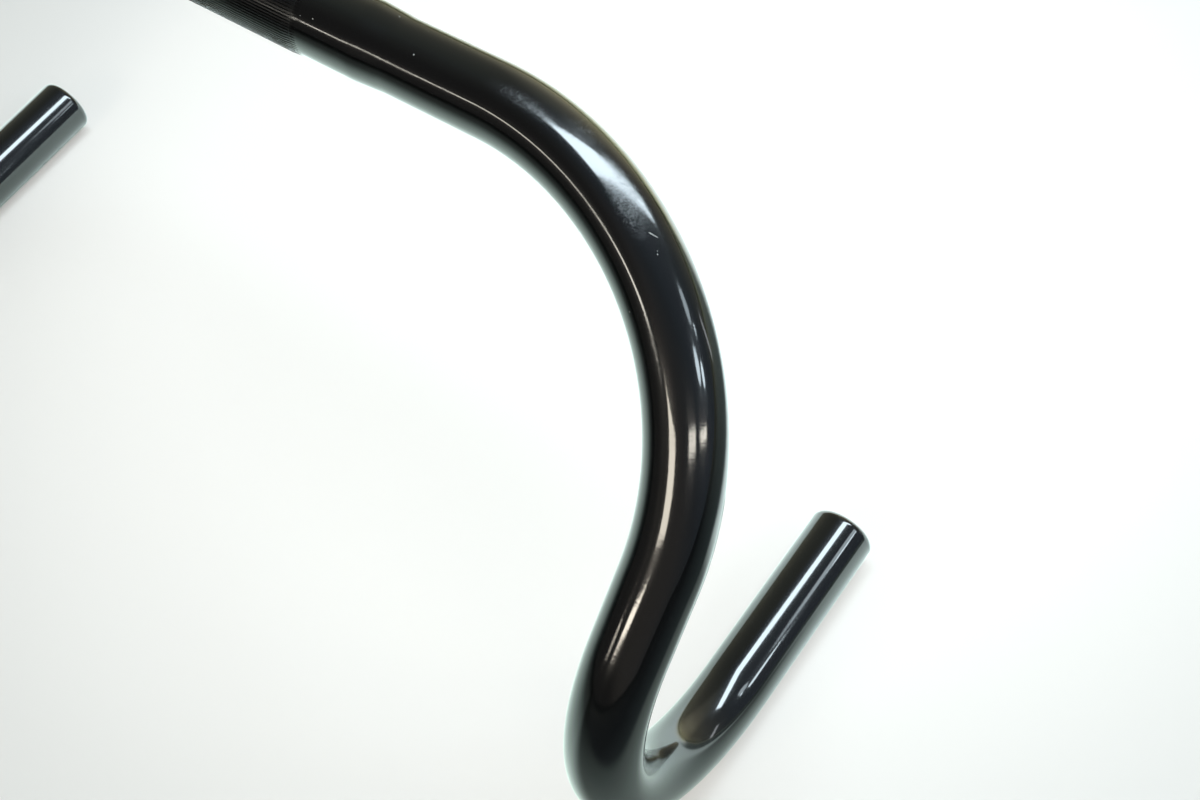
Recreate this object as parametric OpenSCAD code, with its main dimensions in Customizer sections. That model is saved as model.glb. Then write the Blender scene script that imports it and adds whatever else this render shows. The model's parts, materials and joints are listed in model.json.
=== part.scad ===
// Track drop handlebar: one hollow tube with a bulged, knurled middle, two forward bends and two hooks.
// The origin is at the centre of the clamp zone. +X runs along the tops, -Y is forward and +Z is up.

/* [Clamp zone] */
// Diameter over the crests of the knurl, where a stem clamps
clamp_d = 26; // [25.6:0.1:26.4]
// Length of the knurl at its full height
knurl_l = 63; // [30:1:80]
// Length over which each end of the knurl falls to the plain bulge
knurl_fade = 4.5; // [2:0.5:6]
// Number of straight grooves round the knurl
groove_count = 84; // [24:2:88]
// Depth of a groove below the crests
groove_depth = 0.5; // [0.45:0.05:0.7]
// Width of a groove at the crests
groove_w = 0.66; // [0.4:0.02:0.7]
// Diameter of the plain bulge beside the knurl
bulge_d = 25.2; // [24.6:0.1:25.4]
// Length of the bulge from end to end, without its cones
bulge_l = 112; // [100:1:130]
// Length of the cone from the bulge down to the tube
cone_l = 11; // [6:1:20]

/* [Tube] */
// Outer diameter of the tube
tube_d = 23.8; // [22.2:0.1:24.2]
// Wall thickness
wall = 2; // [1.4:0.1:2.6]
// Length of the rounded stretch at each open end
lip_l = 2.6; // [1:0.1:2.8]
// Radius of the rounding at each open end
lip_r = 3; // [3:0.1:4]
// Chamfer on the inner edge of each open end
lip_chamfer = 0.3; // [0.1:0.05:0.5]

/* [Bends] */
// Width between the centres of the two grips
width = 400; // [380:5:440]
// Radius of the forward bends, to the tube's centre
top_bend_r = 100; // [80:1:110]
// Slope of the forward bends below the horizontal
slope = 42.97; // [30:0.01:60]
// Straight stretch between a forward bend and its hook
ramp_l = 23; // [5:1:60]
// Radius of the hooks, to the tube's centre
hook_r = 64; // [50:1:75]
// Length of each straight grip
grip_l = 69; // [40:1:160]

/* [Hidden] */
$fn = 96;

tube_r = tube_d / 2;
bulge_r = bulge_d / 2;
clamp_r = clamp_d / 2;
knurl_half = knurl_l / 2 + knurl_fade;
bulge_half = bulge_l / 2;
cone_end = bulge_half + cone_l;
tops_half = width / 2 - top_bend_r;
// Each groove runs a little past the knurl, so its tail shows in the bulge
groove_tail = 0.4;
// Share of a groove's width that is left at its bottom
groove_floor = 0.2;
// A cutter stands this far out of the crests
clear = 1;

// Section of the plain tube
module tube_section() {
    difference() {
        circle(r = tube_r);
        circle(r = tube_r - wall);
    }
}

// The tops as one turned profile: knurl crests, bulge, cones and tube, with the same wall all along
module tops_blank() {
    outline = [
        [tube_r, -tops_half], [tube_r, -cone_end], [bulge_r, -bulge_half],
        [bulge_r, -knurl_half], [clamp_r, -knurl_l / 2],
        [clamp_r, knurl_l / 2], [bulge_r, knurl_half],
        [bulge_r, bulge_half], [tube_r, cone_end], [tube_r, tops_half]
    ];
    bore = [
        [tube_r - wall, tops_half], [tube_r - wall, cone_end], [bulge_r - wall, bulge_half],
        [bulge_r - wall, -bulge_half], [tube_r - wall, -cone_end], [tube_r - wall, -tops_half]
    ];
    rotate([0, 90, 0]) rotate_extrude() polygon(concat(outline, bore));
}

// Cross-section of one groove's cutter, in the +X direction from the axis
module groove_section() {
    half_top = groove_w / 2;
    half_floor = half_top * groove_floor;
    flare = (half_top - half_floor) / groove_depth;
    half_out = half_top + flare * clear;
    polygon([
        [clamp_r - groove_depth, -half_floor], [clamp_r + clear, -half_out],
        [clamp_r + clear, half_out], [clamp_r - groove_depth, half_floor]
    ]);
}

// The straight grooves of the knurl
module knurl_grooves() {
    rotate([0, 90, 0])
        linear_extrude(height = 2 * (knurl_half + groove_tail), center = true)
            for (i = [0 : groove_count - 1])
                rotate(i * 360 / groove_count) groove_section();
}

// Straight middle of the bar, from one forward bend to the other
module tops() {
    difference() {
        tops_blank();
        knurl_grooves();
    }
}

// Quarter bend from the tops to the ramp, in the bend's own sloping plane
module forward_bend() {
    translate([tops_half, -top_bend_r, 0])
        rotate_extrude(angle = 90) translate([top_bend_r, 0]) tube_section();
}

// Straight stretch from the forward bend to the hook
module ramp() {
    translate([width / 2, -top_bend_r, 0])
        rotate([90, 0, 0]) linear_extrude(height = ramp_l) tube_section();
}

// Everything on the forward side of the XZ plane, as far as a hook reaches
module front_half() {
    reach = 2 * (hook_r + tube_d);
    translate([0, -reach / 2, 0]) cube(reach, center = true);
}

// Hook about its own centre: the part of a ring between the ramp's end and the start of the level grip
module hook() {
    intersection() {
        rotate([0, 90, 0]) rotate_extrude() translate([hook_r, 0]) tube_section();
        front_half();
        rotate([-slope, 0, 0]) front_half();
    }
}

// Half section of a grip: a straight wall, the rounded lip and the chamfered mouth
module grip_profile() {
    bore_r = tube_r - wall;
    difference() {
        union() {
            translate([bore_r, 0]) square([wall, grip_l - lip_l]);
            intersection() {
                translate([bore_r, grip_l - lip_l]) square([wall, lip_l]);
                translate([tube_r - lip_r, grip_l - lip_l]) circle(r = lip_r);
            }
        }
        polygon([
            [bore_r - clear, grip_l - lip_chamfer - clear], [bore_r + lip_chamfer + clear, grip_l + clear],
            [bore_r - clear, grip_l + clear]
        ]);
    }
}

// Straight grip below the hook's centre, running back to its open end
module grip() {
    translate([0, 0, -hook_r])
        rotate([-90, 0, 0]) rotate_extrude() grip_profile();
}

// One side of the bar beyond the tops
module side() {
    rotate([slope, 0, 0]) {
        forward_bend();
        ramp();
        translate([width / 2, -top_bend_r - ramp_l, -hook_r]) {
            hook();
            rotate([-slope, 0, 0]) grip();
        }
    }
}

module handlebar() {
    color([0.02, 0.02, 0.022]) union() {
        tops();
        side();
        mirror([1, 0, 0]) side();
    }
}

handlebar();
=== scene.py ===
"""Track drop handlebar: the painted tube, and the floor, lamps, room and camera that show it."""
import json
import math

import bmesh
import bpy
from mathutils import Matrix, Vector


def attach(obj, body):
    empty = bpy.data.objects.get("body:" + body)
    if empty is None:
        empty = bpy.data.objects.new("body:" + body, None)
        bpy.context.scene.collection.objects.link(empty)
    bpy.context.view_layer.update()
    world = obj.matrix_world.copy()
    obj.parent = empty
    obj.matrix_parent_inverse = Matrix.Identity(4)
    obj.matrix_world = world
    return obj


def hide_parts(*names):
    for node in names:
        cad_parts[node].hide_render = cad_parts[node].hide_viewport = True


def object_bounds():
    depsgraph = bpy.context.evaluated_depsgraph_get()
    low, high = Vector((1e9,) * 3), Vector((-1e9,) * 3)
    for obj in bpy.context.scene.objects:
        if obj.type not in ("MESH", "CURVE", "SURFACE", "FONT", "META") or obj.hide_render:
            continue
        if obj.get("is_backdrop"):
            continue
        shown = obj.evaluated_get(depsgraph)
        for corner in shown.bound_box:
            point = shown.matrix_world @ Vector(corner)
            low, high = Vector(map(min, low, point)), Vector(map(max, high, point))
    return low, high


bl_info = {
    "name": "Track drop handlebar",
    "version": (1, 0, 0),
    "blender": (4, 5, 0),
    "location": "3D View > Sidebar > Handlebar",
    "description": "Builds a gloss black track drop handlebar and the stage it stands on",
    "category": "Add Mesh",
}

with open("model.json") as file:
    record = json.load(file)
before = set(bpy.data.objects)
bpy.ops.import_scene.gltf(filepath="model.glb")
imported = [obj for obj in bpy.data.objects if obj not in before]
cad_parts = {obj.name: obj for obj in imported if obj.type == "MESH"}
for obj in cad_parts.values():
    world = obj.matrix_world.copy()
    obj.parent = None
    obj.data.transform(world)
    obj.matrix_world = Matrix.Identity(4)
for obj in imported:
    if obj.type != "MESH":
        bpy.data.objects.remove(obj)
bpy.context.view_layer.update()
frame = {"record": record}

MM = 0.001
mounts = {mount["name"]: mount for mount in frame["record"]["mounts"]}
stem_clamp = mounts["stem_clamp"]
left_grip = mounts["left_grip"]
left_end = mounts["left_end"]
GRIP_CENTRE = left_grip["pos_m"]
GRIP_STRAIGHT = left_grip["dims"]["length_mm"] * MM

# Share of a groove's width that is left at its bottom
FLOOR_SHARE = 0.2
# A face lies in a groove if its middle is within this share of a pitch of the groove's middle
GROOVE_SHARE = 0.25
# How far the groove strips are inset before their middles are sunk
GROOVE_INSET = 0.1 * MM
# Straight stretches past the knurl, where its grooves end and its vertices turn back to even spacing
GROOVE_TAIL = 0.5 * MM
EVEN_OUT = 1.2 * MM
# Stretch of the bore behind its mouth that has a ring of its own, for even shading
MOUTH_LENGTH = 8 * MM
# Steps of the bends and hooks, outside and in the bore, and of a cone and a lip
OUTER_BEND_STEPS, OUTER_HOOK_STEPS = 60, 64
INNER_BEND_STEPS, INNER_HOOK_STEPS = 24, 28
CONE_STEPS = 14
LIP_STEPS = 10
# Edges that turn by more than this stay sharp
SHARP_ANGLE = math.radians(28)
# Vertices closer than this become one, where the halves meet and then everywhere
MIRROR_WELD, WELD = 0.001 * MM, 0.0005 * MM

# Roughness of clean paint and of its hazed spots, what a scratch adds, and that of the scuffed knurl
CLEAN_ROUGHNESS, HAZED_ROUGHNESS = 0.035, 0.24
SCRATCH_ROUGHNESS = 0.15
SCUFFED_ROUGHNESS = 0.3
# Distances past the knurl's full height between which the scuffs fade out
SCUFF_START, SCUFF_END = 3 * MM, 4.5 * MM
# Depths of the polishing lines and haze, and of the scratches
RIPPLE_DEPTH = 0.012 * MM
SCRATCH_DEPTH = 0.008 * MM


# Sizes and colours that a user would change

def length_property(name, description, default):
    """A length in metres that isn't below zero."""
    return bpy.props.FloatProperty(
        name=name, description=description, default=default, min=0, precision=5,
        unit="LENGTH", subtype="DISTANCE")


def colour_property(name, description, default):
    """A colour as red, green and blue."""
    return bpy.props.FloatVectorProperty(
        name=name, description=description, default=default, min=0, max=1, size=3,
        subtype="COLOR")


class BarSizes(bpy.types.PropertyGroup):
    """Sizes of the bent tube, all to its centreline unless the name says radius."""

    clamp_radius: length_property(
        "Clamp radius", "Radius over the crests of the knurl",
        stem_clamp["dims"]["r_mm"] * MM)
    knurl_length: length_property(
        "Knurl length", "Length of the knurl at its full height",
        stem_clamp["dims"]["length_mm"] * MM)
    knurl_fade: length_property(
        "Knurl fade", "Length over which an end of the knurl falls to the bulge", 4.5 * MM)
    groove_count: bpy.props.IntProperty(
        name="Grooves", description="Number of straight grooves round the knurl",
        default=84, min=24, max=120)
    groove_width: length_property(
        "Groove width", "Width of a groove at the crests", 0.66 * MM)
    groove_depth: length_property(
        "Groove depth", "Depth of a groove below the crests", 0.5 * MM)
    bulge_radius: length_property(
        "Bulge radius", "Radius of the plain bulge beside the knurl", 12.6 * MM)
    bulge_length: length_property(
        "Bulge length", "Length of the bulge without its cones", 112 * MM)
    cone_length: length_property(
        "Cone length", "Length of the cone from the bulge down to the tube", 11 * MM)
    cone_blend: length_property(
        "Cone blend", "Length over which a cone rounds into what it meets", 3 * MM)
    tube_radius: length_property(
        "Tube radius", "Outer radius of the tube", left_grip["dims"]["r_mm"] * MM)
    bore_radius: length_property(
        "Bore radius", "Inner radius of the tube", left_end["dims"]["r_mm"] * MM)
    width: length_property(
        "Width", "Distance between the centres of the two grips", 2 * GRIP_CENTRE[0])
    bend_radius: length_property(
        "Forward bend radius", "Radius of the bends that lead forward", 100 * MM)
    slope: bpy.props.FloatProperty(
        name="Slope", description="Slope of the forward bends below the horizontal",
        default=math.radians(42.97), subtype="ANGLE", unit="ROTATION")
    ramp_length: length_property(
        "Ramp length", "Straight stretch between a forward bend and its hook", 23 * MM)
    hook_radius: length_property(
        "Hook radius", "Radius of the hooks", 64 * MM)
    lip_length: length_property(
        "Lip length", "Length of the rounded stretch at an open end", 2.6 * MM)
    lip_radius: length_property(
        "Lip radius", "Radius of the rounding at an open end", 3 * MM)
    lip_chamfer: length_property(
        "Lip chamfer", "Chamfer on the inner edge of an open end", 0.3 * MM)


class PaintSettings(bpy.types.PropertyGroup):
    """Colours and finish of the tube."""

    paint: colour_property("Paint", "Colour of the gloss black paint", (0.0014, 0.0015, 0.0016))
    bore: colour_property("Bore", "Colour of the bare alloy in the bore", (0.42, 0.42, 0.41))
    dust: colour_property("Dust", "Colour of the specks of dust", (0.5, 0.5, 0.48))


class StageSettings(bpy.types.PropertyGroup):
    """Floor under the bar."""

    floor: colour_property("Floor", "Colour of the floor", (0.87, 0.845, 0.805))
    floor_size: length_property("Floor size", "Length of each side of the floor", 40.0)


# Small helpers for node trees

def add_node(tree, kind, place, **settings):
    """Add a node at a grid place, set its plain settings and return it."""
    node = tree.nodes.new(kind)
    node.location = (place[0] * 220, place[1] * -220)
    for name, value in settings.items():
        setattr(node, name, value)
    return node


def set_inputs(node, **values):
    """Set a node's inputs by name, with spaces written as underscores."""
    for name, value in values.items():
        node.inputs[name.replace("_", " ")].default_value = value


def map_range(tree, place, source, from_min, from_max, to_min, to_max, kind="LINEAR"):
    """Map a value from one range to another, clamped, and return the result's socket."""
    node = add_node(tree, "ShaderNodeMapRange", place, interpolation_type=kind)
    for slot, value in enumerate((from_min, from_max, to_min, to_max), start=1):
        node.inputs[slot].default_value = value
    tree.links.new(source, node.inputs[0])
    return node.outputs[0]


def math_node(tree, place, operation, first, second):
    """Combine two sockets, or a socket and a number, and return the result's socket."""
    node = add_node(tree, "ShaderNodeMath", place, operation=operation)
    for slot, value in enumerate((first, second)):
        if isinstance(value, (int, float)):
            node.inputs[slot].default_value = value
        else:
            tree.links.new(value, node.inputs[slot])
    return node.outputs[0]


def vector_node(tree, place, operation, first, second=None):
    """Combine two vector sockets, or a socket and a vector, and return the node."""
    node = add_node(tree, "ShaderNodeVectorMath", place, operation=operation)
    tree.links.new(first, node.inputs[0])
    if isinstance(second, tuple):
        node.inputs[1].default_value = second
    elif second is not None:
        tree.links.new(second, node.inputs["Scale" if operation == "SCALE" else 1])
    return node


def mix_colours(tree, place, share, first, second):
    """Blend two colours, each a socket or a plain colour, and return the result's socket."""
    node = add_node(tree, "ShaderNodeMix", place, data_type="RGBA")
    tree.links.new(share, node.inputs[0])
    for slot, colour in enumerate((first, second), start=6):
        if isinstance(colour, tuple):
            node.inputs[slot].default_value = (*colour, 1)
        else:
            tree.links.new(colour, node.inputs[slot])
    return node.outputs[2]


def colour_ramp(tree, place, source, stops):
    """A colour ramp with the given (position, colour) stops; returns the colour's socket."""
    node = add_node(tree, "ShaderNodeValToRGB", place)
    elements = node.color_ramp.elements
    elements[0].position, elements[1].position = stops[0][0], stops[-1][0]
    elements[0].color, elements[1].color = (*stops[0][1], 1), (*stops[-1][1], 1)
    for position, colour in stops[1:-1]:
        elements.new(position).color = (*colour, 1)
    tree.links.new(source, node.inputs[0])
    return node.outputs[0]


def noise(tree, place, source, **values):
    """Noise over a coordinate, with the given inputs; returns the value's socket."""
    node = add_node(tree, "ShaderNodeTexNoise", place)
    set_inputs(node, **values)
    tree.links.new(source, node.inputs["Vector"])
    return node.outputs["Fac"]


def drawn_out(tree, place, source, stretch, turn=(0, 0, 0), shift=(0, 0, 0)):
    """A coordinate scaled, turned and shifted, so that noise over it is drawn out along one way."""
    node = add_node(tree, "ShaderNodeMapping", place)
    set_inputs(node, Location=shift, Rotation=turn, Scale=stretch)
    tree.links.new(source, node.inputs["Vector"])
    return node.outputs["Vector"]


def bump(tree, place, height, depth, below=None, invert=False):
    """Bump from a height of 0 to 1, on top of another bump's normal if one is given."""
    node = add_node(tree, "ShaderNodeBump", place, invert=invert)
    set_inputs(node, Strength=1.0, Distance=depth)
    tree.links.new(height, node.inputs["Height"])
    if below is not None:
        tree.links.new(below, node.inputs["Normal"])
    return node.outputs["Normal"]


def straight_place(tree, place):
    """Where a point of the bar would lie if the tube were straight, in metres."""
    node = add_node(tree, "ShaderNodeAttribute", place, attribute_name="straight")
    return node.outputs["Vector"]


def new_material(name):
    """Return a material with only a principled shader, its node tree, the shader and the output."""
    material = bpy.data.materials.new(name)
    material.use_nodes = True
    tree = material.node_tree
    tree.nodes.clear()
    output = add_node(tree, "ShaderNodeOutputMaterial", (8, 0))
    shader = add_node(tree, "ShaderNodeBsdfPrincipled", (6, 0))
    tree.links.new(shader.outputs["BSDF"], output.inputs["Surface"])
    return material, tree, shader, output


# Materials

def scratch_mask(tree, row, source, turn, stretch, threshold, seed, swirl=0.0):
    """Thin lines: noise drawn out along one direction and kept only near its middle level."""
    shift = (seed, seed * 0.37, seed * 0.71)
    drawn = drawn_out(tree, (-6, row), source, stretch, turn, shift)
    value = noise(
        tree, (-5, row), drawn, Scale=1.0, Detail=2.0, Roughness=0.6, Distortion=swirl)
    away = math_node(tree, (-4, row), "SUBTRACT", value, 0.5)
    level = math_node(tree, (-3, row), "ABSOLUTE", away, 0.0)
    return map_range(tree, (-2, row), level, 0.0, threshold, 1.0, 0.0)


def placed_mask(tree, row, place, start, end, half_width, skin):
    """1 inside a long ellipsoid between two points in millimetres, fading to 0 from skin outwards."""
    start, end = Vector(start) * MM, Vector(end) * MM
    half_width = half_width * MM
    half_length = (end - start).length / 2 + half_width
    mapping = add_node(tree, "ShaderNodeMapping", (-6, row), vector_type="TEXTURE")
    set_inputs(
        mapping, Location=(start + end) / 2,
        Rotation=(end - start).to_track_quat("X", "Z").to_euler(),
        Scale=(half_length, half_width, half_width))
    tree.links.new(place, mapping.inputs["Vector"])
    reach = vector_node(tree, (-5, row), "LENGTH", mapping.outputs["Vector"])
    return map_range(tree, (-4, row), reach.outputs["Value"], skin, 1.0, 1.0, 0.0, "SMOOTHSTEP")


def strongest(tree, row, masks):
    """The largest of several masks."""
    found = masks[0]
    for step, mask in enumerate(masks[1:]):
        found = math_node(tree, (-3 + step * 0.5, row), "MAXIMUM", found, mask)
    return found


# Nicks and specks on the photographed side: start, end, half width, all in millimetres
NICKS = (
    ((163.2, -14.5, -1.9), (165.9, -14.0, -3.3), 0.12),
    ((165.7, -14.1, -3.2), (166.0, -12.9, -3.0), 0.12),
    ((163.9, -14.6, -2.3), (164.6, -13.9, -2.4), 0.1),
    ((167.7, -17.0, -4.3), (167.75, -17.1, -4.3), 0.12),
    ((168.1, -17.7, -4.6), (168.4, -17.9, -4.8), 0.11),
    ((42.2, -7.9, 9.85), (42.3, -7.9, 9.85), 0.2),
    ((65.2, 4.5, 11.2), (65.3, 4.5, 11.2), 0.2),
    ((77.8, -4.7, 10.93), (77.9, -4.7, 10.93), 0.15),
)

# Places where hands and straps have hazed the paint: start, end, half width and how strongly
HAZED = (
    ((100, -2, 11.5), (126, -4, 10), 6, 0.9),
    ((124, 1, 9.8), (145, -1, 6), 5, 1.0),
    ((139, -2.5, 7), (164, -11, -2), 4.5, 0.8),
    ((147, -10, 4.5), (166, -18, -3.5), 6, 1.0),
    ((174, -23, -10), (182, -54, -33), 6.5, 0.3),
)


def paint_roughness(tree, straight, smear, marks):
    """How rough the paint is: hazed and scratched where handled, and scuffed all over the knurl."""
    roughness = map_range(tree, (1, 7), smear, 0.0, 1.0, CLEAN_ROUGHNESS, HAZED_ROUGHNESS)
    scratched = math_node(tree, (1, 5), "MULTIPLY", marks, SCRATCH_ROUGHNESS)
    roughness = math_node(tree, (2, 5), "ADD", roughness, scratched)
    along = add_node(tree, "ShaderNodeSeparateXYZ", (-1, 9))
    tree.links.new(straight, along.inputs[0])
    off_middle = math_node(tree, (0, 9), "ABSOLUTE", along.outputs["X"], 0.0)
    knurl_end = stem_clamp["dims"]["length_mm"] / 2 * MM
    scuffed = map_range(
        tree, (1, 9), off_middle, knurl_end + SCUFF_START, knurl_end + SCUFF_END,
        SCUFFED_ROUGHNESS, 0.0)
    return math_node(tree, (3, 5), "MAXIMUM", roughness, scuffed)


def pale_marks(tree, place):
    """1 on specks of dust and on the nicks, 0 elsewhere."""
    specks = add_node(tree, "ShaderNodeTexVoronoi", (-5, 9))
    set_inputs(specks, Scale=60.0, Randomness=1.0)
    tree.links.new(place, specks.inputs["Vector"])
    dust = map_range(tree, (-3, 9), specks.outputs["Distance"], 0.006, 0.011, 1.0, 0.0)
    nicks = strongest(tree, 20, [
        placed_mask(tree, 20 + row, place, start, end, half_width, 0.8)
        for row, (start, end, half_width) in enumerate(NICKS)])
    return math_node(tree, (2, 9), "MAXIMUM", dust, nicks)


def paint_material(settings):
    """Gloss black paint: polishing lines, handling scratches, nicks, dust, haze and a scuffed knurl."""
    material, tree, shader, _ = new_material("gloss_black_paint")
    place = add_node(tree, "ShaderNodeTexCoord", (-9, 0)).outputs["Object"]
    straight = straight_place(tree, (-9, 2))

    patch = noise(tree, (-5, 6), place, Scale=45.0, Detail=3.0, Roughness=0.6)
    worn = map_range(tree, (-4, 6), patch, 0.42, 0.62, 0.0, 0.15)
    hazed = strongest(tree, 12, [
        math_node(
            tree, (-3, 12 + row), "MULTIPLY",
            placed_mask(tree, 12 + row, place, start, end, half_width, 0.1), weight)
        for row, (start, end, half_width, weight) in enumerate(HAZED)])
    handled = math_node(tree, (-2, 6), "MAXIMUM", worn, hazed)
    mottle = noise(
        tree, (-5, 7), place, Scale=760.0, Detail=4.0, Roughness=0.7, Distortion=1.0)
    blotch = map_range(tree, (-4, 7), mottle, 0.38, 0.62, 0.0, 1.0)
    smear = math_node(tree, (0, 7), "MULTIPLY", blotch, handled)

    scratches = [
        scratch_mask(tree, 2, straight, (0.0, 0.0, 0.35), (25, 900, 900), 0.02, 3.1),
        scratch_mask(tree, 3, straight, (0.0, 0.6, -0.5), (60, 900, 900), 0.018, 7.7),
        scratch_mask(tree, 4, place, (0.9, 0.2, 1.2), (90, 1100, 1100), 0.018, 1.3),
        scratch_mask(tree, 5, place, (2.1, 0.7, 0.3), (420, 420, 420), 0.025, 5.9, 1.6),
    ]
    marks = math_node(tree, (0, 4), "MULTIPLY", strongest(tree, 4, scratches), handled)
    roughness = paint_roughness(tree, straight, smear, marks)
    tree.links.new(roughness, shader.inputs["Roughness"])

    colour = mix_colours(
        tree, (3, 8), pale_marks(tree, place), tuple(settings.paint), tuple(settings.dust))
    tree.links.new(colour, shader.inputs["Base Color"])

    polish = drawn_out(tree, (-6, 1), straight, (900, 80, 80), (0.0, 0.0, 0.06))
    lines = noise(tree, (-5, 1), polish, Scale=1.0, Detail=3.0, Roughness=0.65)
    polished = map_range(tree, (-4, 1), patch, 0.35, 0.65, 0.25, 1.0)
    polished = math_node(tree, (-3, 1), "MULTIPLY", lines, polished)
    normal = bump(tree, (2, 1), polished, RIPPLE_DEPTH)
    normal = bump(tree, (3, 1), smear, RIPPLE_DEPTH, normal)
    normal = bump(tree, (4, 2), marks, SCRATCH_DEPTH, normal, invert=True)
    tree.links.new(normal, shader.inputs["Normal"])

    set_inputs(shader, IOR=1.6, Coat_Weight=0.4, Coat_Roughness=0.22, Coat_IOR=1.5)
    return material


def bore_material(settings):
    """Bare drawn alloy inside the tube, dull and a little streaked along it."""
    material, tree, shader, _ = new_material("bare_alloy_bore")
    drawn = drawn_out(tree, (-3, 0), straight_place(tree, (-4, 0)), (20, 700, 700))
    streak = noise(tree, (-2, 0), drawn, Scale=1.0, Detail=3.0)
    darker = tuple(channel * 0.7 for channel in settings.bore)
    tone = mix_colours(tree, (0, 0), streak, darker, tuple(settings.bore))
    tree.links.new(tone, shader.inputs["Base Color"])
    roughness = map_range(tree, (0, 1), streak, 0.3, 0.7, 0.35, 0.55)
    tree.links.new(roughness, shader.inputs["Roughness"])
    set_inputs(shader, Metallic=1.0)
    return material


def line_distance(tree, place, coordinates, normal, offset):
    """Signed distance of a floor point from a straight line; returns the value's socket."""
    node = vector_node(tree, place, "DOT_PRODUCT", coordinates, (*normal, 0))
    return math_node(tree, (place[0] + 1, place[1]), "SUBTRACT", node.outputs["Value"], offset)


def painted_table_light_and_shade(tree, place, split):
    """Painted light and shade of the table in reflections: the share of its light that it keeps towards
    its left, its right and its front, where a painted shadow of the bar falls.
    """
    left = map_range(tree, (-5, 4), split.outputs["X"], -1.2, -0.45, 0.35, 1.0, "SMOOTHSTEP")
    right = map_range(tree, (-5, 9), split.outputs["X"], 0.335, 0.4, 1.0, 0.2, "SMOOTHSTEP")
    # Painted shadow of the bar on the table's front right, seen only in reflections
    slant = line_distance(tree, (-6, 10), place, (1.0, -0.6), 0.0)
    shade = map_range(tree, (-4, 10), slant, 0.225, 0.3, 0.0, 0.76, "SMOOTHSTEP")
    in_front = map_range(tree, (-4, 11), split.outputs["Y"], -0.01, 0.03, 1.0, 0.0)
    shade = math_node(tree, (-3, 10), "MULTIPLY", shade, in_front)
    shade = math_node(tree, (-2, 10), "SUBTRACT", 1.0, shade)
    light = math_node(tree, (-2, 9), "MULTIPLY", left, right)
    light = math_node(tree, (-1, 9), "MULTIPLY", light, shade)
    return math_node(tree, (0, 9), "MULTIPLY", light, 1.17)


def inside_table(tree, place):
    """1 on the mirrored table and 0 past its front edge and its cut corner."""
    front_edge = line_distance(tree, (-6, 5), place, (-0.878, 0.479), -0.351)
    inside = map_range(tree, (-4, 5), front_edge, -0.015, 0.03, 0, 1, "SMOOTHSTEP")
    corner = line_distance(tree, (-6, 6), place, (0.737, 0.676), 0.2917)
    past_corner = map_range(tree, (-4, 6), corner, -0.03, 0.05, 0, 1, "SMOOTHSTEP")
    side = line_distance(tree, (-6, 7), place, (1.0, -0.2), 0.14)
    past_side = map_range(tree, (-4, 7), side, -0.03, 0.12, 0, 1, "SMOOTHSTEP")
    cut = math_node(tree, (-3, 6), "MULTIPLY", past_corner, past_side)
    kept = math_node(tree, (-2, 6), "SUBTRACT", 1.0, cut)
    return math_node(tree, (-1, 5), "MULTIPLY", inside, kept)


def painted_table_reflection(tree, place):
    """Painted reflection of the lit table for glossy rays: bright behind, dark past its edges, with
    painted shade by the bar.
    """
    split = add_node(tree, "ShaderNodeSeparateXYZ", (-6, 3))
    tree.links.new(place, split.inputs[0])
    depth = map_range(tree, (-5, 3), split.outputs["Y"], -1.6, 1.6, 0, 1)
    # Painted brightness of the lit table, from dim in front to bright behind
    table = colour_ramp(tree, (-4, 3), depth, (
        (0.0, (0.10, 0.11, 0.11)), (0.19, (0.14, 0.16, 0.15)), (0.34, (0.18, 0.2, 0.19)),
        (0.383, (0.36, 0.42, 0.38)), (0.406, (0.56, 0.64, 0.58)), (0.4375, (0.86, 0.98, 0.88)),
        (0.47, (1.06, 1.18, 1.06)), (0.5, (1.2, 1.3, 1.2)), (0.5625, (1.6, 1.68, 1.6)),
        (0.66, (1.78, 1.72, 1.5)), (0.81, (1.6, 1.48, 0.95)), (1.0, (1.9, 1.78, 1.05))))
    # Painted reflection of the room past the table's edges, dark but for the olive wall behind
    beyond = colour_ramp(tree, (-4, 8), depth, (
        (0.0, (0.13, 0.14, 0.14)), (0.4, (0.05, 0.055, 0.06)), (0.5, (0.1, 0.12, 0.12)),
        (0.6, (0.2, 0.22, 0.2)), (0.8, (0.42, 0.42, 0.34)), (1.0, (0.9, 0.86, 0.56))))
    lit = vector_node(tree, (-1, 3), "SCALE", table, painted_table_light_and_shade(tree, place, split))
    return mix_colours(tree, (0, 4), inside_table(tree, place), beyond, lit.outputs[0])


# Painted pool of light on the floor that the camera sees: where it is brightest, how far off it dims,
# and how bright it is there
POOL_MIDDLE = (0.044, 0.094)
POOL_INNER, POOL_OUTER = 0.17, 0.36
POOL_BRIGHT, POOL_DIM = 1.063, 0.55
# Colour of that painted glow, and its share in what the camera sees of the floor
POOL_GLOW_COLOUR = (0.985, 0.971, 0.93)
POOL_GLOW_SHARE = 0.5


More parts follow.
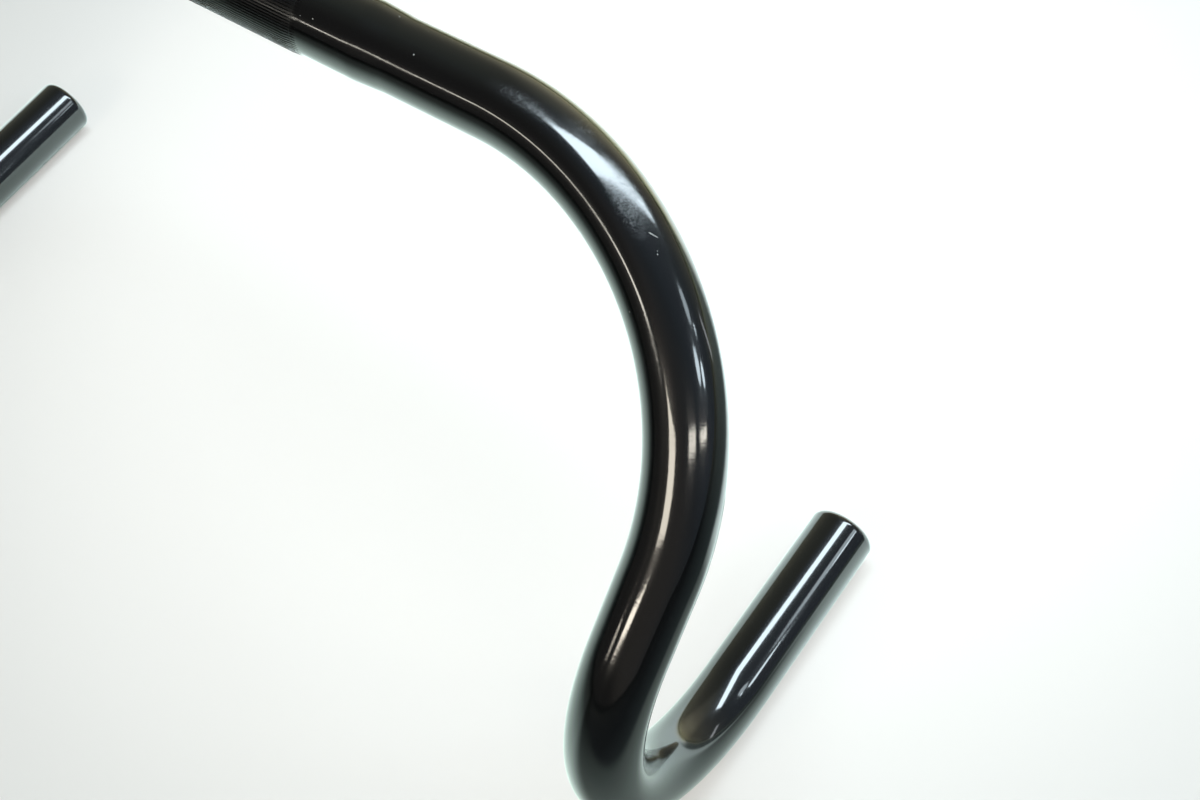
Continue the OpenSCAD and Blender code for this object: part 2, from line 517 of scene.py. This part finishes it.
def floor_material(settings, lowest):
    """Matt white table top lit by the lamps, with a painted pool of light where the camera sees it; the
    paint mirrors a painted pattern of the lit and shaded table instead of the floor's own colour.
    """
    material, tree, shader, output = new_material("white_table")
    place = add_node(tree, "ShaderNodeTexCoord", (-7, 0)).outputs["Object"]
    path = add_node(tree, "ShaderNodeLightPath", (0, -2))
    grain = noise(tree, (-5, 0), place, Scale=3.0, Detail=2.0)
    darker = tuple(channel * 0.99 for channel in settings.floor)
    tone = mix_colours(tree, (-3, 0), grain, darker, tuple(settings.floor))
    # Glossy rays see this painted reflection of the lit and shaded table in place of the floor's colour
    mirrored = painted_table_reflection(tree, place)
    colour = mix_colours(tree, (3, 1), path.outputs["Is Glossy Ray"], tone, mirrored)
    tree.links.new(colour, shader.inputs["Base Color"])
    set_inputs(shader, Roughness=0.9, Specular_IOR_Level=0.0)

    # Painted pool of light: a glow that the camera sees, brightest round a point by the bar and dimmer
    # outwards
    middle = vector_node(tree, (3, 3), "DISTANCE", place, (*POOL_MIDDLE, lowest))
    painted_pool = map_range(
        tree, (4, 3), middle.outputs["Value"], POOL_INNER, POOL_OUTER, POOL_BRIGHT, POOL_DIM,
        "SMOOTHSTEP")
    pool_glow = add_node(tree, "ShaderNodeEmission", (6, 3))
    set_inputs(pool_glow, Color=(*POOL_GLOW_COLOUR, 1))
    tree.links.new(painted_pool, pool_glow.inputs["Strength"])
    seen = math_node(tree, (6, 2), "MULTIPLY", path.outputs["Is Camera Ray"], POOL_GLOW_SHARE)
    mix = add_node(tree, "ShaderNodeMixShader", (7, 1))
    tree.links.new(seen, mix.inputs[0])
    tree.links.new(shader.outputs["BSDF"], mix.inputs[1])
    tree.links.new(pool_glow.outputs[0], mix.inputs[2])
    tree.links.new(mix.outputs[0], output.inputs["Surface"])
    return material


# The bent tube

class TubeMaker:
    """Grows half of the bar ring by ring in a bmesh, from the middle to the open end and back."""

    def __init__(self, sizes):
        self.sizes = sizes
        self.pitch = 2 * math.pi / sizes.groove_count
        self.floor_radius = sizes.clamp_radius - sizes.groove_depth
        self.half_floor = sizes.groove_width / 2 * FLOOR_SHARE
        self.bm = bmesh.new()
        self.straight = self.bm.verts.layers.float_vector.new("straight")
        self.forward = Vector((1, 0, 0))
        self.centre = Vector((0, 0, 0))
        self.along = 0.0
        self.radius = sizes.clamp_radius
        self.inside = False
        self.faces_inside = []
        made = bmesh.ops.create_circle(
            self.bm, cap_ends=False, radius=self.radius, segments=2 * sizes.groove_count)
        self.ring = made["verts"]
        bmesh.ops.rotate(
            self.bm, verts=self.ring, cent=self.centre,
            matrix=Matrix.Rotation(math.pi / 2, 3, "Y"))
        self.edges = list({edge for vert in self.ring for edge in vert.link_edges})

    def extrude(self):
        """Extrude the last ring and make the new one the last."""
        made = bmesh.ops.extrude_edge_only(self.bm, edges=self.edges)["geom"]
        self.ring = [part for part in made if isinstance(part, bmesh.types.BMVert)]
        ends = set(self.ring)
        self.edges = [
            part for part in made
            if isinstance(part, bmesh.types.BMEdge) and ends.issuperset(part.verts)]
        faces = [part for part in made if isinstance(part, bmesh.types.BMFace)]
        if self.inside:
            self.faces_inside.extend(faces)
        return faces

    def resize(self, radius):
        """Scale the last ring about the tube's centreline to a new radius."""
        share = radius / self.radius
        bmesh.ops.scale(
            self.bm, verts=self.ring, vec=(share, share, share),
            space=Matrix.Translation(-self.centre))
        for vert in self.ring:
            place = vert[self.straight]
            vert[self.straight] = Vector((place.x, place.y * share, place.z * share))
        self.radius = radius

    def shift_along(self, length):
        """Add a length to where the last ring lies on the straightened tube."""
        self.along += length
        for vert in self.ring:
            place = vert[self.straight]
            vert[self.straight] = Vector((self.along, place.y, place.z))

    def run(self, length, radius=None):
        """One straight step, with a new radius if one is given."""
        faces = self.extrude()
        step = self.forward * length
        bmesh.ops.translate(self.bm, verts=self.ring, vec=step)
        self.centre = self.centre + step
        self.shift_along(length)
        if radius is not None:
            self.resize(radius)
        return faces

    def bend(self, pivot, axis, angle, steps):
        """Turn the last ring about an axis through a pivot, step by step."""
        turn = Matrix.Rotation(angle / steps, 3, axis)
        arc = (self.centre - pivot).length * abs(angle) / steps
        if self.inside:
            arc = -arc
        for _ in range(steps):
            self.extrude()
            bmesh.ops.rotate(self.bm, verts=self.ring, cent=pivot, matrix=turn)
            self.centre = pivot + turn @ (self.centre - pivot)
            self.shift_along(arc)
        self.forward = Matrix.Rotation(angle, 3, axis) @ self.forward

    def off_groove(self, point):
        """How far round the tube a point is from the middle of its nearest groove, in pitches."""
        angle = math.atan2(point.z, point.y) / self.pitch
        return angle - round(angle)

    def widen_grooves(self, turn):
        """Turn each vertex of the last ring this far away from its nearest groove."""
        for side in (1, -1):
            verts = [vert for vert in self.ring if (self.off_groove(vert.co) > 0) == (side > 0)]
            bmesh.ops.rotate(
                self.bm, verts=verts, cent=self.centre,
                matrix=Matrix.Rotation(side * turn, 3, "X"))

    def groove_faces(self, faces):
        """The faces of a strip that lie in the grooves rather than on the crests."""
        return [
            face for face in faces
            if abs(self.off_groove(face.calc_center_median())) < GROOVE_SHARE]


def grow_knurl(maker):
    """The knurl from the middle of the bar to the plain bulge; returns the faces of its grooves."""
    sizes = maker.sizes
    half_crest = sizes.groove_width / 2
    fall = sizes.bulge_radius - maker.floor_radius
    half_tail = maker.half_floor + (half_crest - maker.half_floor) * fall / sizes.groove_depth
    even = maker.pitch / 4
    bmesh.ops.rotate(
        maker.bm, verts=maker.ring, cent=maker.centre, matrix=Matrix.Rotation(even, 3, "X"))
    maker.widen_grooves(half_crest / maker.radius - even)
    for vert in maker.ring:
        vert[maker.straight] = vert.co
    strips = maker.run(sizes.knurl_length / 2)
    strips += maker.run(sizes.knurl_fade, sizes.bulge_radius)
    maker.widen_grooves(half_tail / maker.radius - half_crest / sizes.clamp_radius)
    strips += maker.run(GROOVE_TAIL)
    grooves = maker.groove_faces(strips)
    maker.run(EVEN_OUT)
    maker.widen_grooves(even - half_tail / maker.radius)
    return grooves


def sink_grooves(maker, grooves):
    """Inset the groove strips and sink them to the floor radius."""
    bmesh.ops.inset_region(
        maker.bm, faces=grooves, use_boundary=False, use_even_offset=True,
        thickness=GROOVE_INSET, depth=0)
    floor_verts = {vert for face in grooves for vert in face.verts}
    for vert in floor_verts:
        angle = math.atan2(vert.co.z, vert.co.y)
        groove = round(angle / maker.pitch) * maker.pitch
        side = 1 if angle > groove else -1
        place = groove + side * maker.half_floor / maker.floor_radius
        vert.co.y = maker.floor_radius * math.cos(place)
        vert.co.z = maker.floor_radius * math.sin(place)
        vert[maker.straight] = vert.co


def cone_radius(sizes, place):
    """Radius of the tops at a distance from the middle, with the cone's two corners rounded."""
    start = sizes.bulge_length / 2
    end = start + sizes.cone_length
    half = sizes.cone_blend / 2
    fall = (sizes.bulge_radius - sizes.tube_radius) / sizes.cone_length
    near = min(max(place - start + half, 0.0), 2 * half)
    far = min(max(place - end + half, 0.0), 2 * half)
    past_start = max(place - start - half, 0.0)
    past_end = max(place - end - half, 0.0)
    dropped = fall * (near * near / (4 * half) + past_start)
    regained = fall * (far * far / (4 * half) + past_end)
    return sizes.bulge_radius - dropped + regained


def grow_tops(maker):
    """From the knurl past the cone to the start of the forward bend."""
    sizes = maker.sizes
    start = sizes.bulge_length / 2 - sizes.cone_blend / 2
    end = sizes.bulge_length / 2 + sizes.cone_length + sizes.cone_blend / 2
    maker.run(start - maker.centre.x)
    length = (end - start) / CONE_STEPS
    for _ in range(CONE_STEPS):
        maker.run(length, cone_radius(sizes, maker.centre.x + length))
    maker.run(sizes.width / 2 - sizes.bend_radius - maker.centre.x)


def bend_axis(sizes):
    """Direction about which the forward bends turn."""
    return Vector((0, math.sin(sizes.slope), -math.cos(sizes.slope)))


def grow_side(maker):
    """Forward bend, ramp, hook and straight grip, outwards along the outside of the tube."""
    sizes = maker.sizes
    inward = Vector((0, -math.cos(sizes.slope), -math.sin(sizes.slope)))
    pivot = maker.centre + inward * sizes.bend_radius
    maker.bend(pivot, bend_axis(sizes), math.pi / 2, OUTER_BEND_STEPS)
    maker.run(sizes.ramp_length)
    below = Vector((1, 0, 0)).cross(maker.forward) * sizes.hook_radius
    pivot = maker.centre + below
    maker.bend(pivot, Vector((1, 0, 0)), math.pi - sizes.slope, OUTER_HOOK_STEPS)
    maker.run(GRIP_STRAIGHT)


def grow_lip(maker):
    """Rounded lip, flat rim and inner chamfer of the open end."""
    sizes = maker.sizes
    middle = sizes.tube_radius - sizes.lip_radius
    end_angle = math.asin(sizes.lip_length / sizes.lip_radius)
    reached = 0.0
    for step in range(1, LIP_STEPS + 1):
        angle = end_angle * step / LIP_STEPS
        length = sizes.lip_radius * math.sin(angle)
        maker.run(length - reached, middle + sizes.lip_radius * math.cos(angle))
        reached = length
    maker.run(0.0, sizes.bore_radius + sizes.lip_chamfer)
    maker.run(-sizes.lip_chamfer, sizes.bore_radius)


def grow_bore(maker):
    """The bore, from the open end back to the middle of the bar."""
    sizes = maker.sizes
    maker.inside = True
    maker.run(-MOUTH_LENGTH)
    maker.run(MOUTH_LENGTH + sizes.lip_chamfer - GRIP_STRAIGHT - sizes.lip_length)
    pivot = maker.centre + Vector((0, 0, sizes.hook_radius))
    maker.bend(pivot, Vector((1, 0, 0)), sizes.slope - math.pi, INNER_HOOK_STEPS)
    maker.run(-sizes.ramp_length)
    pivot = maker.centre - Vector((sizes.bend_radius, 0, 0))
    maker.bend(pivot, bend_axis(sizes), -math.pi / 2, INNER_BEND_STEPS)
    wall = sizes.tube_radius - sizes.bore_radius
    maker.run(sizes.bulge_length / 2 + sizes.cone_length - maker.centre.x)
    maker.run(-sizes.cone_length, sizes.bulge_radius - wall)
    maker.run(-maker.centre.x)


def settle_order(parts, key):
    """Put all vertices, edges or faces in the order of a key; an extrude's own order varies."""
    for index, part in enumerate(sorted(parts, key=key)):
        part.index = index
    parts.sort()
    parts.index_update()


def build_bar(sizes):
    """The whole bar as one closed mesh."""
    maker = TubeMaker(sizes)
    grooves = grow_knurl(maker)
    grow_tops(maker)
    grow_side(maker)
    grow_lip(maker)
    grow_bore(maker)
    bm = maker.bm
    for face in bm.faces:
        face.smooth = True
    for face in maker.faces_inside:
        face.material_index = 1
    sink_grooves(maker, grooves)
    bmesh.ops.mirror(
        bm, geom=list(bm.verts) + list(bm.edges) + list(bm.faces), axis="X",
        merge_dist=MIRROR_WELD)
    bmesh.ops.remove_doubles(bm, verts=bm.verts, dist=WELD)
    for vert in bm.verts:
        if abs(vert.co.x) < MIRROR_WELD:
            vert.co.x = 0
    bmesh.ops.recalc_face_normals(bm, faces=bm.faces)
    for edge in bm.edges:
        if len(edge.link_faces) != 2:
            raise RuntimeError("the bar's mesh is not closed")
        edge.smooth = edge.calc_face_angle(0) < SHARP_ANGLE
    settle_order(bm.verts, lambda vert: [round(value / WELD) for value in vert.co])
    settle_order(bm.edges, lambda edge: sorted(vert.index for vert in edge.verts))
    settle_order(bm.faces, lambda face: sorted(vert.index for vert in face.verts))
    mesh = bpy.data.meshes.new("bar_tube")
    bm.to_mesh(mesh)
    bm.free()
    return mesh


def add_object(name, data):
    """Put a new object with this mesh, lamp or camera into the scene and return it."""
    made = bpy.data.objects.new(name, data)
    bpy.context.scene.collection.objects.link(made)
    return made


class HANDLEBAR_OT_tube(bpy.types.Operator):
    """Build the painted tube and let it stand for the plain one"""

    bl_idname = "handlebar.tube"
    bl_label = "Bent tube"

    def execute(self, context):
        sizes = context.scene.handlebar_sizes
        finish = context.scene.handlebar_finish
        bar = add_object("bar_tube", build_bar(sizes))
        bar.data.materials.append(paint_material(finish))
        bar.data.materials.append(bore_material(finish))
        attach(bar, "root")
        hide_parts("handlebar")
        return {"FINISHED"}


# The stage: floor, lamps, room and camera

COOL_WHITE = (0.78, 0.92, 1.0)
WARM_WHITE = (1.0, 0.95, 0.84)
WARM = (1.0, 0.92, 0.78)
PALE_BLUE = (0.9, 0.95, 1.0)
# Point by the bar's left side that the lamps face
LAMP_TARGET = Vector((0.14, -0.05, -0.05))


def add_lamp(name, centre, along, away, size, radiance, colour, shape):
    """Add an area lamp with its long axis along one direction and its back towards another."""
    data = bpy.data.lights.new(name, "AREA")
    data.shape = shape
    data.size, data.size_y = size
    data.color = colour
    area = size[0] * size[1]
    if shape == "DISK":
        area *= math.pi / 4
    data.energy = radiance * math.pi * area
    lamp = add_object(name, data)
    third = (away - along * away.dot(along)).normalized()
    across = third.cross(along)
    lamp.matrix_world = Matrix((along, across, third)).transposed().to_4x4()
    lamp.location = centre
    lamp.visible_camera = False


def round_lamp(name, centre, width, radiance, colour):
    """A round lamp that faces the bar."""
    centre = Vector(centre)
    away = centre - LAMP_TARGET
    along = Vector((0, 0, 1)).cross(away).normalized()
    add_lamp(name, centre, along, away, (width, width), radiance, colour, "DISK")


def strip_lamp(name, start, end, width, radiance, colour):
    """A long lamp between two end points that faces the bar."""
    start, end = Vector(start), Vector(end)
    centre = (start + end) / 2
    length = (end - start).length
    along = (end - start) / length
    add_lamp(
        name, centre, along, centre - LAMP_TARGET, (length, width), radiance, colour, "RECTANGLE")


def add_lamps():
    """The lamps that the paint mirrors: one big strip overhead and smaller ones round it."""
    turn = math.radians(61)
    along = Vector((math.cos(turn), math.sin(turn), 0))
    add_lamp(
        "overhead_strip", (0.34, 0.685, 1.0), along, Vector((0, 0, 1)), (1.6, 0.28), 16.5,
        COOL_WHITE, "RECTANGLE")
    round_lamp("round_lamp_1", (3.47, 2.07, 3.02), 0.85, 5, COOL_WHITE)
    round_lamp("round_lamp_2", (1.338, 0.692, 0.707), 0.085, 14, COOL_WHITE)
    round_lamp("round_lamp_3", (1.0, 0.27, 0.36), 0.11, 13, COOL_WHITE)
    round_lamp("round_lamp_4", (1.43, 0.269, 0.841), 0.252, 11, COOL_WHITE)
    strip_lamp("tube_lamp_low", (1.534, -0.233, 0.713), (1.653, 0.16, 0.426), 0.08, 15, WARM_WHITE)
    strip_lamp("tube_lamp_high", (1.086, -0.819, 0.988), (1.37, -0.47, 0.846), 0.15, 11, WARM_WHITE)
    strip_lamp("warm_lamp", (-0.14, -1.42, 0.78), (0.3, -1.36, 0.87), 0.31, 11, WARM)
    strip_lamp("warm_lamp_low", (-0.15, -1.47, 0.472), (0.142, -1.46, 0.54), 0.07, 18, WARM)
    strip_lamp("warm_lamp_side", (-0.59, -1.42, 0.365), (-0.45, -1.465, 0.39), 0.035, 12, WARM)
    strip_lamp("warm_lamp_far", (-0.835, -1.067, 0.463), (-0.5, -1.19, 0.66), 0.05, 9, WARM_WHITE)
    strip_lamp("warm_lamp_near", (-0.5, -1.19, 0.66), (-0.382, -1.226, 0.718), 0.08, 11, WARM_WHITE)
    strip_lamp("far_streak", (1.196, 1.124, 0.208), (1.216, 1.088, -0.19), 0.08, 2.7, PALE_BLUE)


def add_floor(settings):
    """The floor under the bar, at its lowest point."""
    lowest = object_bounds()[0][2]
    bm = bmesh.new()
    bmesh.ops.create_grid(bm, x_segments=1, y_segments=1, size=settings.floor_size / 2)
    bmesh.ops.translate(bm, verts=bm.verts, vec=(0, 0, lowest))
    mesh = bpy.data.meshes.new("floor")
    bm.to_mesh(mesh)
    bm.free()
    floor = add_object("floor", mesh)
    floor.data.materials.append(floor_material(settings, lowest))
    floor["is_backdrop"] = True


def lit_wall(tree, place, split):
    """Light of the olive wall towards the back, by height and by the way it lies."""
    height = colour_ramp(tree, (-3, 0), split.outputs["Z"], (
        (0.0, (0.78, 0.74, 0.42)), (0.08, (0.62, 0.58, 0.36)), (0.13, (0.5, 0.47, 0.32)),
        (0.2, (0.55, 0.53, 0.37)), (0.34, (0.36, 0.34, 0.25)), (0.5, (0.22, 0.22, 0.17)),
        (0.64, (0.17, 0.18, 0.15)), (0.87, (0.05, 0.06, 0.05)), (1.0, (0.0, 0.0, 0.0))))
    flat = vector_node(tree, (-4, 1), "MULTIPLY", place, (1, 1, 0))
    level = vector_node(tree, (-3, 1), "NORMALIZE", flat.outputs[0])
    facing = vector_node(tree, (-2, 1), "DOT_PRODUCT", level.outputs[0], (-0.2, 0.98, 0))
    wall = colour_ramp(tree, (-1, 1), facing.outputs["Value"], (
        (0.25, (0.0, 0.0, 0.0)), (0.55, (0.25, 0.25, 0.25)), (0.93, (0.33, 0.33, 0.33)),
        (0.995, (1.0, 1.0, 1.0))))
    lit = vector_node(tree, (0, 0), "MULTIPLY", height, wall)
    fading = map_range(tree, (0, 2), split.outputs["X"], 0.2, 0.75, 1.0, 0.35, "SMOOTHSTEP")
    return vector_node(tree, (1, 0), "SCALE", lit.outputs[0], fading).outputs[0]


def dim_surround(tree, place, split):
    """Light of the rest of the room: near black, and bluish on the side of the windows."""
    depth = map_range(tree, (-2, 3), split.outputs["Y"], -1, 1, 0, 1)
    dim = colour_ramp(tree, (-1, 3), depth, (
        (0.0, (0.045, 0.044, 0.043)), (0.32, (0.048, 0.047, 0.045)), (0.45, (0.07, 0.073, 0.066)),
        (0.56, (0.078, 0.088, 0.08)), (0.7, (0.085, 0.093, 0.08)), (1.0, (0.09, 0.09, 0.075))))
    bluish = colour_ramp(tree, (-1, 4), depth, (
        (0.0, (0.13, 0.12, 0.105)), (0.15, (0.125, 0.12, 0.115)), (0.25, (0.1, 0.107, 0.113)),
        (0.35, (0.085, 0.1, 0.115)), (0.45, (0.095, 0.12, 0.145)), (0.55, (0.11, 0.135, 0.165)),
        (0.65, (0.12, 0.145, 0.175)), (0.8, (0.075, 0.1, 0.125)), (1.0, (0.09, 0.1, 0.1))))
    lean = vector_node(tree, (-3, 4), "DOT_PRODUCT", place, (1, 0, 0.8))
    side = map_range(tree, (-2, 4), lean.outputs["Value"], 0.15, 0.65, 0, 1, "SMOOTHSTEP")
    return mix_colours(tree, (0, 3), side, dim, bluish)


def add_room():
    """The dim room round the table, with a lit olive wall towards the back; the camera sees white."""
    world = bpy.data.worlds.new("room")
    bpy.context.scene.world = world
    world.use_nodes = True
    tree = world.node_tree
    tree.nodes.clear()
    output = add_node(tree, "ShaderNodeOutputWorld", (6, 0))
    place = add_node(tree, "ShaderNodeTexCoord", (-6, 0)).outputs["Generated"]
    split = add_node(tree, "ShaderNodeSeparateXYZ", (-5, 0))
    tree.links.new(place, split.inputs[0])
    wall = lit_wall(tree, place, split)
    total = vector_node(tree, (1, 1), "ADD", wall, dim_surround(tree, place, split))
    room = add_node(tree, "ShaderNodeBackground", (2, 0))
    set_inputs(room, Strength=1.72)
    tree.links.new(total.outputs[0], room.inputs["Color"])
    white = add_node(tree, "ShaderNodeBackground", (2, 1))
    set_inputs(white, Color=(1, 1, 1, 1), Strength=1.0)
    path = add_node(tree, "ShaderNodeLightPath", (2, -2))
    mix = add_node(tree, "ShaderNodeMixShader", (4, 0))
    tree.links.new(path.outputs["Is Camera Ray"], mix.inputs[0])
    tree.links.new(room.outputs[0], mix.inputs[1])
    tree.links.new(white.outputs[0], mix.inputs[2])
    tree.links.new(mix.outputs[0], output.inputs["Surface"])


def add_camera():
    """The camera, where the photograph was taken from."""
    right = Vector((0.8057, 0.5803, -0.1187))
    down = Vector((0.4451, -0.7255, -0.5250))
    forward = Vector((-0.3907, 0.3701, -0.8428))
    data = bpy.data.cameras.new("camera")
    data.sensor_width = 36
    data.lens = 53.24
    data.clip_start = 0.01
    camera = add_object("camera", data)
    camera.matrix_world = Matrix((right, -down, -forward)).transposed().to_4x4()
    camera.location = (0.35588, -0.22756, 0.37125)
    bpy.context.scene.camera = camera


class HANDLEBAR_OT_stage(bpy.types.Operator):
    """Add the floor, the lamps, the room and the camera"""

    bl_idname = "handlebar.stage"
    bl_label = "Stage"

    def execute(self, context):
        add_floor(context.scene.handlebar_stage)
        add_lamps()
        add_room()
        add_camera()
        context.scene.view_settings.view_transform = "Standard"
        return {"FINISHED"}


class HANDLEBAR_PT_panel(bpy.types.Panel):
    """Sizes, colours and the steps that build the bar"""

    bl_label = "Track drop handlebar"
    bl_idname = "HANDLEBAR_PT_panel"
    bl_space_type = "VIEW_3D"
    bl_region_type = "UI"
    bl_category = "Handlebar"

    def draw(self, context):
        layout = self.layout
        for group in ("handlebar_sizes", "handlebar_finish", "handlebar_stage"):
            settings = getattr(context.scene, group)
            box = layout.box()
            for name in settings.bl_rna.properties.keys():
                if name not in {"rna_type", "name"}:
                    box.prop(settings, name)
        layout.operator(HANDLEBAR_OT_tube.bl_idname)
        layout.operator(HANDLEBAR_OT_stage.bl_idname)


CLASSES = (
    BarSizes, PaintSettings, StageSettings,
    HANDLEBAR_OT_tube, HANDLEBAR_OT_stage, HANDLEBAR_PT_panel)


def register():
    """Add the classes and their settings to Blender."""
    for cls in CLASSES:
        bpy.utils.register_class(cls)
    bpy.types.Scene.handlebar_sizes = bpy.props.PointerProperty(type=BarSizes)
    bpy.types.Scene.handlebar_finish = bpy.props.PointerProperty(type=PaintSettings)
    bpy.types.Scene.handlebar_stage = bpy.props.PointerProperty(type=StageSettings)


def unregister():
    """Take the settings and classes out of Blender again."""
    del bpy.types.Scene.handlebar_stage
    del bpy.types.Scene.handlebar_finish
    del bpy.types.Scene.handlebar_sizes
    for cls in reversed(CLASSES):
        bpy.utils.unregister_class(cls)


def main():
    """Build the bar and its stage."""
    register()
    bpy.ops.handlebar.tube()
    bpy.ops.handlebar.stage()


if __name__ == "__main__":
    main()
